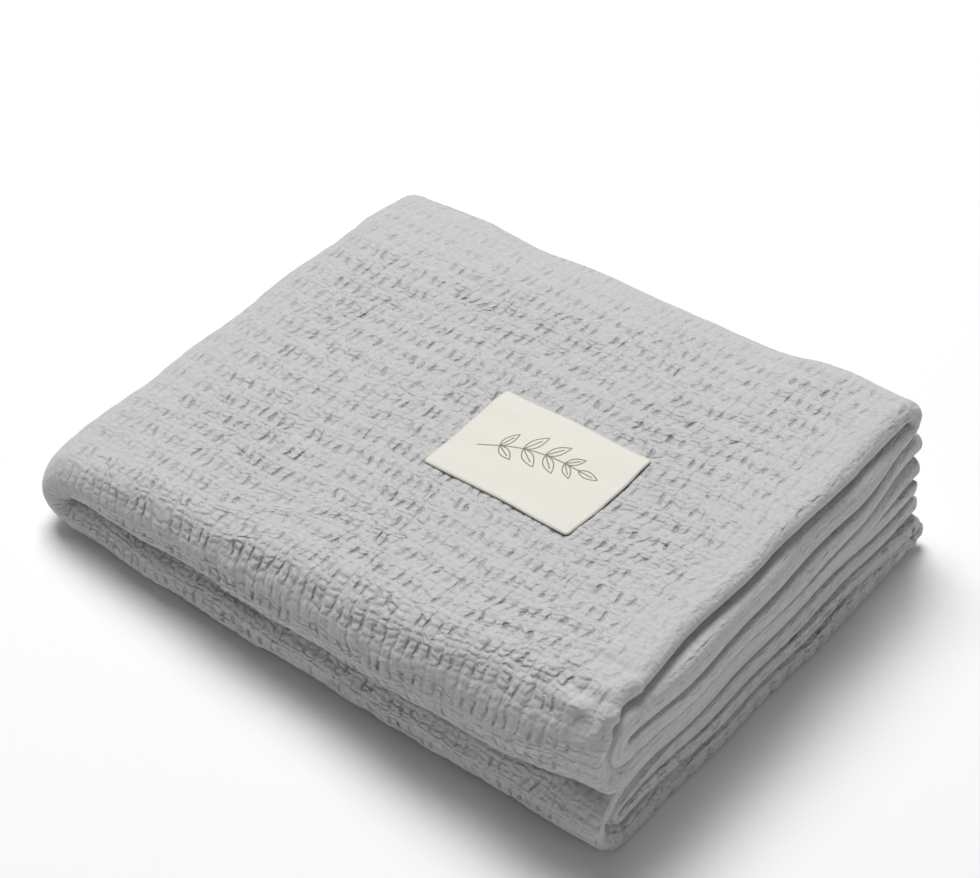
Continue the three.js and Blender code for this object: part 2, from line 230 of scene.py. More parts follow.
def bend_lines(packet, x):
    """Middle lines of the front noses and of the back loop, and the two inner hems."""
    front = packet_rows(packet, x, 0.0 * x)["total"]
    back = packet_rows(packet, x, 0.0 * x + WIDTH)
    loop_height = back["starts"][1] + back["thicks"][1]
    nose = long_side(x, packet + "_nose") + front / 2.0
    return {
        "nose": nose,
        "nose_arc": math.pi * front / 2.0,
        "inner_nose": nose - INNER_NOSE_REACH * along_share(x),
        "loop": long_side(x, "back") - loop_height / 2.0,
        "loop_arc": math.pi * loop_height / 2.0,
        "hem_three": long_side(x, "hem_three"),
        "hem_four": long_side(x, "hem_four"),
    }


def stack_height(x, y):
    upper = packet_rows("upper", x, y)
    lower = packet_rows("lower", x, y)
    return lower["total"] + upper["to_other"] + upper["total"]


def sag_at(x, y):
    """The upper packet sags a little in front of the lower one."""
    upper_nose = long_side(x, "upper_nose")
    lower_line = bend_lines("lower", x)["nose"]
    share = unit((lower_line - y) / (lower_line - upper_nose))
    return long_side(x, "sag") * share * share


def by_stretch(stretch, values):
    """Each place's value from those of its stretch, and 0 on a stretch that has none."""
    chosen = [stretch == list(STRETCHES).index(name) for name in values]
    return np.select(chosen, list(values.values()), default=0.0)


def width_places(packet, x, v):
    """Which stretch of the folded width each v lies on, its line over the width, and its turn."""
    lines = bend_lines(packet, x)
    nose_end = -lines["nose_arc"]
    flat_one = lines["loop"] - lines["nose"]
    loop_end = flat_one + lines["loop_arc"]
    limits = (nose_end, 0.0, flat_one, loop_end, V_INSIDE["row_two"], V_INSIDE["inner_nose"])
    stretch = sum((v >= limit).astype(int) for limit in limits)
    four = (v - nose_end) / (V_INSIDE["row_four"] - nose_end)
    two = (v - loop_end) / (V_INSIDE["row_two"] - loop_end)
    three = (v - V_INSIDE["inner_nose"]) / (V_INSIDE["row_three"] - V_INSIDE["inner_nose"])
    line = by_stretch(stretch, {
        "row_four": mix(lines["nose"], lines["hem_four"], four),
        "nose": lines["nose"],
        "row_one": lines["nose"] + v,
        "loop": lines["loop"],
        "row_two": mix(lines["loop"], lines["inner_nose"], two),
        "inner_nose": lines["inner_nose"],
        "row_three": mix(lines["inner_nose"], lines["hem_three"], three),
    })
    turn = by_stretch(stretch, {
        "nose": 1.0 + v / lines["nose_arc"],
        "loop": (v - flat_one) / lines["loop_arc"],
        "inner_nose": (v - V_INSIDE["row_two"]) / (V_INSIDE["inner_nose"] - V_INSIDE["row_two"]),
    })
    across = by_stretch(stretch, {
        "row_four": four, "row_one": v / flat_one, "loop": 1.0, "row_two": 1.0 - two, "row_three": three})
    return {"stretch": stretch, "line": line, "turn": turn, "across": across}


def mixed_over_rows(places, values):
    """Values given per row, taken at each place and mixed round the bends."""
    return by_stretch(places["stretch"], {
        name: mix(values[start - 1], values[end - 1], places["turn"])
        for name, (start, end) in STRETCHES.items()})


def pair_thickness(packet, x, places):
    return mixed_over_rows(places, packet_rows(packet, x, places["line"])["thicks"])


def right_end(packet, places):
    shorts = [row_value(packet, row, places["across"], "short") for row in (1, 2, 3, 4)]
    return LENGTH - mixed_over_rows(places, shorts)


def place_in_packet(packet, x, places, pair_depth):
    """Place over the width, and depth in the packet, of a depth in the double cloth."""
    rows = packet_rows(packet, x, places["line"])
    starts, thicks, half = rows["starts"], rows["thicks"], rows["total"] / 2.0
    two_end = starts[1] + thicks[1]
    angle = math.pi * (places["turn"] - 0.5)
    nose_reach = unit(np.cos(angle)) ** np.where(angle < 0.0, BLUNT_NOSE[packet], 1.0)
    outer = half - pair_depth
    back = two_end / 2.0 - pair_depth
    inner = (starts[2] - two_end) / 2.0 + pair_depth
    y = places["line"] + by_stretch(places["stretch"], {
        "nose": -outer * nose_reach,
        "loop": back * np.cos(angle),
        "inner_nose": -inner * np.cos(angle),
    })
    depth = by_stretch(places["stretch"], {
        "row_four": starts[3] + thicks[3] - pair_depth,
        "nose": half - outer * np.sin(angle),
        "row_one": starts[0] + pair_depth,
        "loop": two_end / 2.0 + back * np.sin(angle),
        "row_two": two_end - pair_depth,
        "inner_nose": (two_end + starts[2]) / 2.0 + inner * np.sin(angle),
        "row_three": starts[2] + pair_depth,
    })
    return y, depth


def place_in_stack(packet, x, places, pair_depth):
    """Place over the width, and height in the stack, of a depth in the double cloth."""
    y, depth = place_in_packet(packet, x, places, pair_depth)
    if packet == "lower":
        return y, depth
    return y, stack_height(x, places["line"]) - depth - sag_at(x, y)


def rough_x(u):
    """About where a place along the blanket lies, for the sizes that it takes."""
    wrap, loop, bend = ROUGH["wrap"], ROUGH["loop"], ROUGH["bend"]
    top = np.clip(u, wrap, loop)
    under = np.clip(2.0 * wrap - bend - u, wrap, loop)
    inside = {packet: mix(loop, wrap, (u - ROUGH[packet]) / (U_INSIDE[packet] - ROUGH[packet]))
              for packet in U_INSIDE}
    return np.select([u < ROUGH["lower"], u < wrap - bend / 2.0, u < ROUGH["upper"]],
                     [inside["lower"], under, top], default=inside["upper"])


def cloth_points(u, v, face):
    """Points of one face of the cloth, -1 its outer and 1 its inner one, at the cloth's places."""
    near = rough_x(u)
    places = {packet: width_places(packet, near, v) for packet in ("upper", "lower")}
    left = read_table(END_TABLE, "across", places["upper"]["across"], "left")
    wrap_line = left + stack_height(left, 0.0 * left) / 2.0
    wrap_height = stack_height(wrap_line, places["upper"]["line"])
    wrap_arc = math.pi * wrap_height / 2.0
    from_wrap = {"upper": lambda at: at - wrap_line, "lower": lambda at: wrap_line - wrap_arc - at}
    points = np.zeros(u.shape + (3,))
    for packet, here in places.items():
        run = from_wrap[packet](u)
        far = from_wrap[packet](U_INSIDE[packet])
        right = right_end(packet, here)
        end_thickness = thickness_at(right)
        loop_line = right - pair_thickness(packet, right, here) / 2.0
        loop_pair = pair_thickness(packet, loop_line, here)
        loop_start = loop_line - wrap_line
        loop_arc = math.pi * loop_pair / 2.0
        loop_end = loop_start + loop_arc
        outer_x = wrap_line + run
        outer_depth = thickness_at(outer_x) * (1.0 + face) / 2.0
        inner_share = unit((run - loop_end) / (far - loop_end))
        inner_x = mix(loop_line, wrap_line + HEM_FROM_BEND, inner_share)
        inner_depth = pair_thickness(packet, inner_x, here) - thickness_at(inner_x) * (1.0 + face) / 2.0
        radius = (loop_pair - end_thickness) / 2.0 - face * end_thickness / 2.0
        angle = math.pi * (unit((run - loop_start) / loop_arc) - 0.5)
        blunt = mix(mixed_over_rows(here, BLUNT_END[packet]["front"]),
                    mixed_over_rows(here, BLUNT_END[packet]["back"]),
                    fade(here["across"], BLUNT_BACK_FROM, 1.0 - BLUNT_BACK_FROM))
        loop_x = loop_line + radius * np.cos(angle) ** blunt
        loop_depth = loop_pair / 2.0 + radius * np.sin(angle)
        for mask, size_x, x, depth in (
                ((run >= 0.0) & (run < loop_start), outer_x, outer_x, outer_depth),
                ((run >= loop_start) & (run < loop_end), loop_line, loop_x, loop_depth),
                (run >= loop_end, inner_x, inner_x, inner_depth)):
            y, z = place_in_stack(packet, size_x, here, depth)
            points[mask] = np.stack([x, y, z], axis=-1)[mask]
    turn = unit((wrap_line - u) / wrap_arc)
    on_wrap = (u < wrap_line) & (wrap_line - wrap_arc - u < 0.0)
    depth = thickness_at(wrap_line) * (1.0 + face) / 2.0
    upper_y, upper_depth = place_in_packet("upper", wrap_line, places["upper"], depth)
    lower_y, lower_depth = place_in_packet("lower", wrap_line, places["lower"], depth)
    radius = wrap_height / 2.0 - mix(upper_depth, lower_depth, turn)
    angle = math.pi * (0.5 - turn)
    reach = (wrap_line - left) / (wrap_height / 2.0)
    wrap = np.stack([
        wrap_line - radius * np.cos(angle) * reach,
        mix(upper_y, lower_y, turn),
        wrap_height / 2.0 + radius * np.sin(angle) - sag_at(wrap_line, upper_y) * (1.0 - turn),
    ], axis=-1)
    points[on_wrap] = wrap[on_wrap]
    return points


# How unevenly the folds lie, in mm, and the lengths of their waves; none of it right on the floor
UNEVEN = {"up": 0.7, "back": 0.8, "along": 0.7, "wave_top": 75.0, "wave_side": 42.0, "wave_up": 26.0,
          "off_floor": 6.0}
# The upper packet droops towards its open end
DROOP = {"from": 226.0, "depth": 2.3, "above": 30.0}
# The front left corner is pressed down
CORNER_SAG = {"x": 0.0, "y": 8.0, "reach": 50.0, "depth": 4.0, "height": 38.0}
# The back edge sags over its middle
BACK_SAG = {"along": (58.0, 225.0, 32.0), "over": (152.0, 34.0), "depth": 3.2}


def settle(points):
    """The folds lie a little unevenly: the whole stack is bent in soft waves, more towards the top."""
    x, y, z = points[..., 0], points[..., 1], points[..., 2]
    top, side, rise = UNEVEN["wave_top"], UNEVEN["wave_side"], UNEVEN["wave_up"]
    up = unit(z / FULL_HEIGHT)
    off_floor = unit(z / UNEVEN["off_floor"])
    sag = BACK_SAG["depth"] * up * fade(y, *BACK_SAG["over"]) * between(x, *BACK_SAG["along"])
    away = np.hypot(x - CORNER_SAG["x"], y - CORNER_SAG["y"]) / CORNER_SAG["reach"]
    sag = sag + CORNER_SAG["depth"] * ease(1.0 - away) * z / CORNER_SAG["height"]
    over = unit((x - DROOP["from"]) / (LENGTH - DROOP["from"])) ** 2
    above = unit((z - DROOP["above"]) / (FULL_HEIGHT - DROOP["above"]))
    sag = sag + DROOP["depth"] * over * above
    moved = points.copy()
    moved[..., 2] += UNEVEN["up"] * up * soft_noise("stack_up", x / top, y / top) - sag
    moved[..., 1] += UNEVEN["back"] * off_floor * soft_noise("stack_back", x / side, z / rise)
    moved[..., 0] += UNEVEN["along"] * off_floor * soft_noise("stack_along", y / side, z / rise)
    return moved


# Woven label on the top: its middle, its turn in degrees, the gap below it, its corner rounding
LABEL = {"width": 66.0, "depth": 44.0, "thickness": 0.7, "x": 164.0, "y": 87.5, "turn": -4.0,
         "lift": 0.35, "corner": 1.4}


def on_label(x, y):
    """Places in the label's own directions, from its middle."""
    turn = math.radians(LABEL["turn"])
    away_x, away_y = x - LABEL["x"], y - LABEL["y"]
    return (away_x * math.cos(turn) + away_y * math.sin(turn),
            away_y * math.cos(turn) - away_x * math.sin(turn))


# Repeat of the knit: raised pillows with a pair of slits between them, and a rib between the rows
REPEAT_U = 13.6
REPEAT_V = 9.2
# The knit's grooves over one repeat, as shares of it. Along: the two slits of a row and the seam
# between two bumps. Over: the four grooves between the ribs, the line through the slits first, which
# stands a little lower or higher in each repeat.
SLITS = {"first": 0.14, "second": 0.44}
SEAM = 0.79
BUMPS = {"count": 3, "first": 0.125}
RIBS = 4
ROW_LINE = 0.57
ROW = {"half": 0.32, "steep": 2.2}
SLIT = {"half": 0.24, "steep": 1.6, "sway": 0.14}
# Relief in mm: how far bumps, lumps and the ribbon between the rows stand up, how deep the grooves are
RELIEF = {"bump": 0.55, "lump": 0.32, "ribbon": 0.32, "slit": 0.85, "seam": 0.32, "line": 0.10}
# Widths in mm: from a bump's edge to its crown and how much less a seam takes of it, half a groove,
# half a row's line, and a lump both ways
KNIT_WIDTH = {"bump": 1.9, "less_at_seam": 0.5, "groove": 1.0, "line": 1.2, "lump_u": 13.0, "lump_v": 9.0}
# The least share of its height that a bump has between two ribs, at its edge and by chance, and of
# its depth that a slit has by chance
LEAST = {"between_ribs": 0.6, "at_edge": 0.2, "bump": 0.3, "first": 0.5, "second": 0.2}
# How many bumps or repeats each way it takes until their chances come round again
KNIT_CELLS = 64


def away_from(value, line):
    """Distance to a line of the repeat, in repeats."""
    return np.abs((value - line + 0.5) % 1.0 - 0.5)


def cells(value):
    return np.floor(value).astype(int) % KNIT_CELLS


def knit_relief(u, v):
    """Height of the knit over the cloth's face at shares of its repeat, each bump and slit unlike."""
    chance = np.random.default_rng(BUMP_SEED).uniform(0.0, 1.0, size=(4, KNIT_CELLS, KNIT_CELLS))
    bump_chance = chance[0][cells(RIBS / 2.0 * (v - ROW_LINE)), cells(BUMPS["count"] * (u - BUMPS["first"]))]
    first_chance, second_chance, sway_chance = chance[1:, cells(v), cells(u)]
    in_row = ease(ROW["steep"] * (1.0 - away_from(v, ROW_LINE) / ROW["half"]))
    slit_middle = ROW_LINE + SLIT["sway"] * (sway_chance - 0.5)
    in_slit = ease(SLIT["steep"] * (1.0 - away_from(v, slit_middle) / SLIT["half"]))
    from_first = away_from(u, SLITS["first"]) * REPEAT_U
    from_second = away_from(u, SLITS["second"]) * REPEAT_U
    from_seam = away_from(u, SEAM) * REPEAT_U
    from_groove = np.minimum(np.minimum(from_first, from_second), from_seam + KNIT_WIDTH["less_at_seam"])
    over_bump = mix(LEAST["at_edge"], 1.0, ease(from_groove / KNIT_WIDTH["bump"]))
    over_ribs = ease(away_from(RIBS / 2.0 * (v - ROW_LINE), 0.0) * 2.0)
    bump = over_bump * mix(LEAST["between_ribs"], 1.0, over_ribs) * mix(LEAST["bump"], 1.0, bump_chance)
    first_slit, second_slit, seam = (
        1.0 - ease(away / KNIT_WIDTH["groove"]) for away in (from_first, from_second, from_seam))
    slit = in_slit * np.maximum(first_slit * mix(LEAST["first"], 1.0, first_chance),
                                second_slit * mix(LEAST["second"], 1.0, second_chance))
    line = 1.0 - ease(away_from(v, ROW_LINE) * REPEAT_V / KNIT_WIDTH["line"])
    lumps = soft_noise("lumps", u * REPEAT_U / KNIT_WIDTH["lump_u"], v * REPEAT_V / KNIT_WIDTH["lump_v"])
    return (RELIEF["bump"] * bump + RELIEF["ribbon"] * (1.0 - in_row) - RELIEF["slit"] * slit
            - RELIEF["seam"] * seam - RELIEF["line"] * line + RELIEF["lump"] * lumps)


# A soft crease over the top's back left, which wavers and runs out at its ends
CREASE = {"from": (66.0, 150.0), "to": (58.0, 100.0), "half_width": 5.0, "depth": 1.0,
          "sway": 1.5, "sway_length": 9.0, "ends": 0.3}


def crease_depth(x, y):
    start, end = np.array(CREASE["from"]), np.array(CREASE["to"])
    length = np.linalg.norm(end - start)
    ahead = (end - start) / length
    run = (x - start[0]) * ahead[0] + (y - start[1]) * ahead[1]
    aside = (x - start[0]) * ahead[1] - (y - start[1]) * ahead[0]
    aside = aside + CREASE["sway"] * np.sin(run / CREASE["sway_length"])
    ends = between(run / length, 0.0, 1.0, CREASE["ends"])
    return CREASE["depth"] * ends * (1.0 - ease(np.abs(aside) / CREASE["half_width"]))


# The cloth is gathered into puckers at the top's front right corner
PUCKER = {"x": 242.0, "y": 13.0, "reach_x": 38.0, "reach_y": 24.0, "depth": 1.1, "along": 9.0, "over": 5.5}


def pucker_height(x, y, u, v):
    """Height of the puckers, strongest at their middle."""
    away = np.hypot((x - PUCKER["x"]) / PUCKER["reach_x"], (y - PUCKER["y"]) / PUCKER["reach_y"])
    folds = soft_noise("puckers", u / PUCKER["along"], v / PUCKER["over"])
    return PUCKER["depth"] * ease(1.0 - away) * folds


# How clearly the knit shows: from where on, and over how many mm that comes in
CLEAR = {
    "left": (2.0, 50.0), "right": (LENGTH - 14.0, -24.0), "back": WIDTH - 2.0,
    "front": (22.0, -26.0), "front_along": (6.0, LENGTH + 2.0, 16.0),
    "low_end": (LENGTH - 16.0, 8.0), "low": (26.0, -12.0),
    "bend_along": (20.0, -14.0), "bend_over": (24.0, -12.0),
}
BACK_REACH = {"left": 60.0, "right": 16.0}
PATCH = 46.0
CLEARNESS = {"all": 0.28, "off_bend": 0.6, "face": 0.50, "front": 0.22, "low_end": 0.55, "patches": 0.26}


def crispness(points):
    """How clearly the knit shows: crisp near the front and its right corner and on the ends of the
    lower rows, soft at the closed end, the back and the rounded right edge of the top."""
    x, y, z = points[..., 0], points[..., 1], points[..., 2]
    back_reach = mix(BACK_REACH["left"], BACK_REACH["right"], along_share(x))
    face = fade(x, *CLEAR["left"]) * fade(x, *CLEAR["right"]) * fade(y, CLEAR["back"], -back_reach)
    front = fade(y, *CLEAR["front"]) * between(x, *CLEAR["front_along"])
    low_end = fade(x, *CLEAR["low_end"]) * fade(z, *CLEAR["low"])
    bend = fade(y, *CLEAR["bend_over"]) * fade(x, *CLEAR["bend_along"])
    clear = CLEARNESS["all"] * (1.0 - CLEARNESS["off_bend"] * bend) + CLEARNESS["face"] * face
    clear = clear + CLEARNESS["front"] * front + CLEARNESS["low_end"] * low_end * (1.0 - front)
    patches = 0.5 + 0.5 * soft_noise("patches", x / PATCH, y / PATCH)
    return clear * mix(1.0, patches, CLEARNESS["patches"])


# How the knit lies under the folds: its rows climb and its columns lean by these mm towards the
# closed end, and by more mm at the back, from a place over the cloth on and within a reach
TURNED = {"rise": 4.0, "rise_back": 13.0, "lean": 0.04, "lean_back": 11.0, "run": 250.0,
          "rise_over": (0.0, 170.0), "lean_over": (70.0, 120.0)}
# Its lines waver: how far, over which lengths along and over the cloth
SWAY = {
    "sway_u": (1.1, 60.0, 40.0), "sway_u_fine": (0.45, 11.0, 9.0),
    "sway_v": (0.9, 70.0, 45.0), "sway_v_fine": (0.40, 12.0, 8.0),
}
# Where the knit is turned and where it wavers, along and over the cloth
TURNED_AT = {"along": (-290.0, 276.0, 90.0, 30.0), "over": (-110.0, 350.0, 40.0, 140.0)}
WAVERS_AT = {"along": (-292.0, 276.0, 12.0), "over": (-72.0, 198.0, 12.0)}
MIDDLE_OF_BEND = -5.5


def knit_lines(u, v):
    """The knit lies turned by some three degrees under the folds, more so at the back left, and its
    lines waver."""
    from_left = unit(1.0 - (np.abs(u - MIDDLE_OF_BEND) + MIDDLE_OF_BEND) / TURNED["run"])
    rise = from_left * (TURNED["rise"] + TURNED["rise_back"] * fade(v, *TURNED["rise_over"]))
    lean = TURNED["lean"] * v + from_left * TURNED["lean_back"] * fade(v, *TURNED["lean_over"])
    turned = between(v, *TURNED_AT["over"]) * between(u, *TURNED_AT["along"])
    sway = {name: size * soft_noise(name, u / along, v / over) for name, (size, along, over) in SWAY.items()}
    wavers = between(v, *WAVERS_AT["over"]) * between(u, *WAVERS_AT["along"])
    return (u + (sway["sway_u"] + sway["sway_u_fine"]) * wavers + lean * turned,
            v + (sway["sway_v"] + sway["sway_v_fine"]) * wavers + rise * turned)


# Where the relief shows: along the cloth on its two rounded ends, and over it. It is fainter on the
# ends and round the nose.
SHOWS = {"lower_end": (-290.0, -264.0, 6.0), "upper_end": (250.0, 274.0, 6.0), "over": (-74.0, 200.0, 8.0)}
FAINTER = {"on_ends": 0.5, "over_ends": 0.55, "nose": 0.35, "nose_reach": -10.0}
# The rows' lines show as upright bars on the rounded end of the bottom row
BARS = {"depth": 0.55, "half_width": 1.5}
# Parts of the cloth: from and to along it, from and to over it
PARTS = {
    "top": (0.0, math.inf, 0.0, 170.0),
    "underside": (-math.inf, -40.0, 0.0, 170.0),
    "below_label": (60.0, math.inf, 0.0, 160.0),
    "front_corner": (180.0, 266.0, -30.0, 60.0),
}
# The label presses the relief down to a height, also just past its edges. The floor presses it flat
# on what lies less than this above it.
PRESSED = {"height": 0.12, "past_label": 1.0, "above_floor": 0.5}


def relief_on_cloth(u, v, points):
    """Height over the plain folded cloth of the knit, the crease and the puckers; and how crisp the
    knit is."""
    def on_part(name):
        u_from, u_to, v_from, v_to = PARTS[name]
        return (u > u_from) & (u < u_to) & (v > v_from) & (v < v_to)

    x, y, z = points[..., 0], points[..., 1], points[..., 2]
    crisp = crispness(points)
    over_cloth = between(v, *SHOWS["over"])
    at_lower_end = between(u, *SHOWS["lower_end"])
    at_end = np.maximum(between(u, *SHOWS["upper_end"]), at_lower_end)
    showing = np.maximum(over_cloth, FAINTER["on_ends"] * at_end) * (1.0 - FAINTER["over_ends"] * at_end)
    showing = showing * (1.0 - FAINTER["nose"] * fade(v, 0.0, FAINTER["nose_reach"]))
    from_row_line = away_from(v / REPEAT_V, ROW_LINE) * REPEAT_V
    bars = BARS["depth"] * (1.0 - ease(from_row_line / BARS["half_width"])) * at_lower_end * over_cloth
    relief = knit_relief(u / REPEAT_U, v / REPEAT_V) * crisp * showing - bars
    relief = np.where(on_part("underside") & (z < PRESSED["above_floor"]), 0.0, relief)
    label_x, label_y = on_label(x, y)
    pressed = on_part("below_label") & (np.abs(label_x) < LABEL["width"] / 2.0 + PRESSED["past_label"])
    pressed = pressed & (np.abs(label_y) < LABEL["depth"] / 2.0 + PRESSED["past_label"])
    relief = np.where(pressed, np.minimum(relief, PRESSED["height"]), relief)
    relief = relief - np.where(on_part("top"), crease_depth(x, y), 0.0)
    return relief + np.where(on_part("front_corner"), pucker_height(x, y, u, v), 0.0), crisp


# Mesh lines over one repeat, as shares of it: along the three grooves and over the bumps between
# them, and along the four grooves and over the ribs between them
LINES_U = (0.06, 0.14, 0.21, 0.29, 0.37, 0.44, 0.52, 0.615, 0.71, 0.79, 0.86, 0.96)
LINES_U_UNDER = (0.0, 0.14, 0.30, 0.44, 0.62, 0.80)
LINES_V = tuple(0.07 + line / 8.0 for line in range(8))
# Mesh lines along the cloth and over its width: the zone, from and to, and how many there are or
# which shares of the repeat they take
LINES_ALONG = (
    ("inside", U_INSIDE["lower"], -295.0, 9),
    ("end", -288.0, -262.0, 17),
    ("under", -260.0, -36.0, LINES_U_UNDER),
    ("top", -35.0, 246.0, LINES_U),
    ("end", 247.0, 272.0, 19),
    ("inside", 280.0, U_INSIDE["upper"], 9),
)
LINES_OVER = (
    ("inside", V_INSIDE["row_four"], -72.0, 38),
    ("nose", -68.0, -0.5, LINES_V),
    ("row_one", 0.0, 160.0, LINES_V),
    ("back", 161.0, 196.0, 24),
    ("inside", 200.0, 356.0, 36),
    ("inside", V_INSIDE["row_two"], V_INSIDE["inner_nose"], 7),
    ("inside", 374.0, V_INSIDE["row_three"], 38),
)
# One in how many of the lines stays where the cloth is hidden, and on its inner face
ONE_IN = {"top": 14, "under": 12, "inner_face": 3, "inner_row_one": 12}
# How far a hem's rounded edge stands out, as a share of the cloth's thickness
HEM_ROUND = 0.45


def mesh_lines(stretches, repeat):
    """Mesh lines of some stretches of the cloth, and the zone that each belongs to."""
    lines, zones = [], []
    for zone, start, end, spacing in stretches:
        if isinstance(spacing, int):
            places = np.linspace(start, end, spacing)
        else:
            repeats = range(math.floor(start / repeat), math.ceil(end / repeat) + 1)
            places = [repeat * (index + share) for index in repeats for share in spacing]
            places = [place for place in places if start <= place <= end]
        lines.extend(places)
        zones.extend([zone] * len(places))
    return np.array(lines), np.array(zones)


def zip_rows(faces, low, low_at, high, high_at):
    """Joins two rows of vertices whose columns differ with triangles and quads."""
    i = j = 0
    while i < len(low) - 1 or j < len(high) - 1:
        next_low = low_at[i + 1] if i < len(low) - 1 else math.inf
        next_high = high_at[j + 1] if j < len(high) - 1 else math.inf
        if next_low == next_high:
            faces.append((low[i], low[i + 1], high[j + 1], high[j]))
            i += 1
            j += 1
        elif next_low < next_high:
            faces.append((low[i], low[i + 1], high[j]))
            i += 1
        else:
            faces.append((low[i], high[j + 1], high[j]))
            j += 1


def blanket_mesh():
    """The folded cloth as one closed sheet, with the knit's relief on its outer face."""
    u_lines, zones_u = mesh_lines(LINES_ALONG, REPEAT_U)
    v_lines, zones_v = mesh_lines(LINES_OVER, REPEAT_V)
    u_grid, v_grid = np.meshgrid(u_lines, v_lines)
    u_cloth, v_cloth = knit_lines(u_grid, v_grid)
    plain = cloth_points(u_cloth, v_cloth, -1.0)
    outer = settle(plain)
    normal = np.cross(np.gradient(outer, axis=1), np.gradient(outer, axis=0))
    normal /= np.linalg.norm(normal, axis=-1, keepdims=True) + 1e-12
    relief, crisp = relief_on_cloth(u_grid, v_grid, plain)
    outer = outer + normal * relief[..., None]
    outer[..., 2] = np.maximum(outer[..., 2], 0.0)

    # The columns that each row of the mesh uses: fewer where the cloth is hidden
    order = np.arange(len(u_lines))
    coarse_under = (zones_u != "under") | (order % ONE_IN["under"] == 0)
    coarse = coarse_under & ((zones_u != "top") | (order % ONE_IN["top"] == 0))
    uses = {"nose": order >= 0, "row_one": coarse_under, "back": coarse_under, "inside": coarse}
    columns = [order[uses[zone]] for zone in zones_v]

    vertices, faces, uvs, crisp_values = [], [], [], []

    def add_row(points, knit_row, chosen):
        """Adds a row's chosen points, which show the knit of a row of the cloth."""
        start = len(vertices)
        vertices.extend(points[chosen])
        u_chosen, v_chosen = u_grid[knit_row, chosen], v_grid[knit_row, chosen]
        uvs.extend(np.stack([u_chosen / REPEAT_U, v_chosen / REPEAT_V], axis=-1))
        crisp_values.extend(crisp[knit_row, chosen])
        return list(range(start, start + len(chosen)))

    outer_ids = [add_row(outer[row], row, chosen) for row, chosen in enumerate(columns)]
    last = len(v_lines) - 1
    for row in range(last):
        zip_rows(faces, outer_ids[row], columns[row], outer_ids[row + 1], columns[row + 1])

    # The inner face needs fewer lines, and all of it shows the knit of the cloth's first row: only
    # slivers of it are seen, at the back
    inner_columns = order[coarse | (zones_u == "end")]
    rows = np.arange(last + 1)
    every = np.where(zones_v == "row_one", ONE_IN["inner_row_one"], ONE_IN["inner_face"])
    inner_rows = rows[(rows % every == 0) | (rows == last)]
    inner = settle(cloth_points(u_cloth, v_cloth, 1.0))
    inner_ids = {row: add_row(inner[row], 0, inner_columns) for row in inner_rows}
    for low_row, high_row in zip(inner_rows[:-1], inner_rows[1:]):
        zip_rows(faces, inner_ids[high_row], inner_columns, inner_ids[low_row], inner_columns)

    def hem(outer_edge, outer_at, inner_edge, inner_at, inside_points, flip):
        """Rounded hem between an edge of the outer face and the same edge of the inner one."""
        outer_points = np.array([vertices[i] for i in outer_edge])
        inner_places = np.array([vertices[i] for i in inner_edge])
        inner_points = [np.interp(outer_at, inner_at, inner_places[:, k]) for k in range(3)]
        inner_points = np.stack(inner_points, axis=-1)
        middle = (outer_points + inner_points) / 2.0
        away = middle - inside_points
        away /= np.linalg.norm(away, axis=-1, keepdims=True) + 1e-12
        depth = np.linalg.norm(outer_points - inner_points, axis=-1, keepdims=True)
        start = len(vertices)
        round_points = middle + away * depth * HEM_ROUND
        round_points[0], round_points[-1] = middle[0], middle[-1]
        vertices.extend(round_points)
        uvs.extend([uvs[i] for i in outer_edge])
        crisp_values.extend([crisp_values[i] for i in outer_edge])
        line = list(range(start, start + len(outer_edge)))
        hem_faces = []
        zip_rows(hem_faces, line, outer_at, outer_edge, outer_at)
        zip_rows(hem_faces, inner_edge, inner_at, line, outer_at)
        faces.extend([face[::-1] for face in hem_faces] if flip else hem_faces)

    for row, beside, flip in ((0, 1, False), (last, last - 1, True)):
        hem(outer_ids[row], columns[row], inner_ids[row], inner_columns, outer[beside, columns[row]], flip)
    for position, beside, flip in ((0, 1, True), (-1, -2, False)):
        hem([ids[position] for ids in outer_ids], rows,
            [inner_ids[row][position] for row in inner_rows], inner_rows, outer[:, beside], flip)
    return np.array(vertices), faces, np.array(uvs), np.array(crisp_values)


def weave_object(name, vertices, faces, uv_map, uvs, point_values=None):
    """Makes a piece with its places on a UV map and values at its points, joins the corners of its
    hems and turns every face outward."""
    mesh = bpy.data.meshes.new(name)
    mesh.from_pydata([tuple(point) for point in (vertices + CORNER) * MM], [], faces)
    loop_vertices = np.zeros(len(mesh.loops), dtype=np.int32)
    mesh.loops.foreach_get("vertex_index", loop_vertices)
    mesh.uv_layers.new(name=uv_map).data.foreach_set("uv", uvs[loop_vertices].astype(np.float32).ravel())
    for value_name, values in (point_values or {}).items():
        mesh.attributes.new(value_name, "FLOAT", "POINT").data.foreach_set("value", values.astype(np.float32))
    work = bmesh.new()
    work.from_mesh(mesh)
    bmesh.ops.remove_doubles(work, verts=work.verts, dist=1e-7)
    bmesh.ops.recalc_face_normals(work, faces=work.faces)
    work.to_mesh(mesh)
    work.free()
    mesh.shade_smooth()
    made = bpy.data.objects.new(name, mesh)
    bpy.context.scene.collection.objects.link(made)
    return made


def make_blanket():
    vertices, faces, uvs, crisp_values = blanket_mesh()
    return weave_object("knitted_cloth", vertices, faces, "repeats", uvs, {"crisp": crisp_values})


blanket = make_blanket()
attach(blanket, "root")
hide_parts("blanket")


# Camera at the photo's viewing angle, fitted to the outline and to the label's corners
CAMERA = {
    "azimuth": 39.58, "elevation": 43.14, "roll": -1.642, "distance": 1014.7,
    "target": (-8.41, 18.77, 30.0), "focal_pixels": 2832.3,
}
PHOTO_WIDTH = 980
SENSOR_WIDTH = 36.0


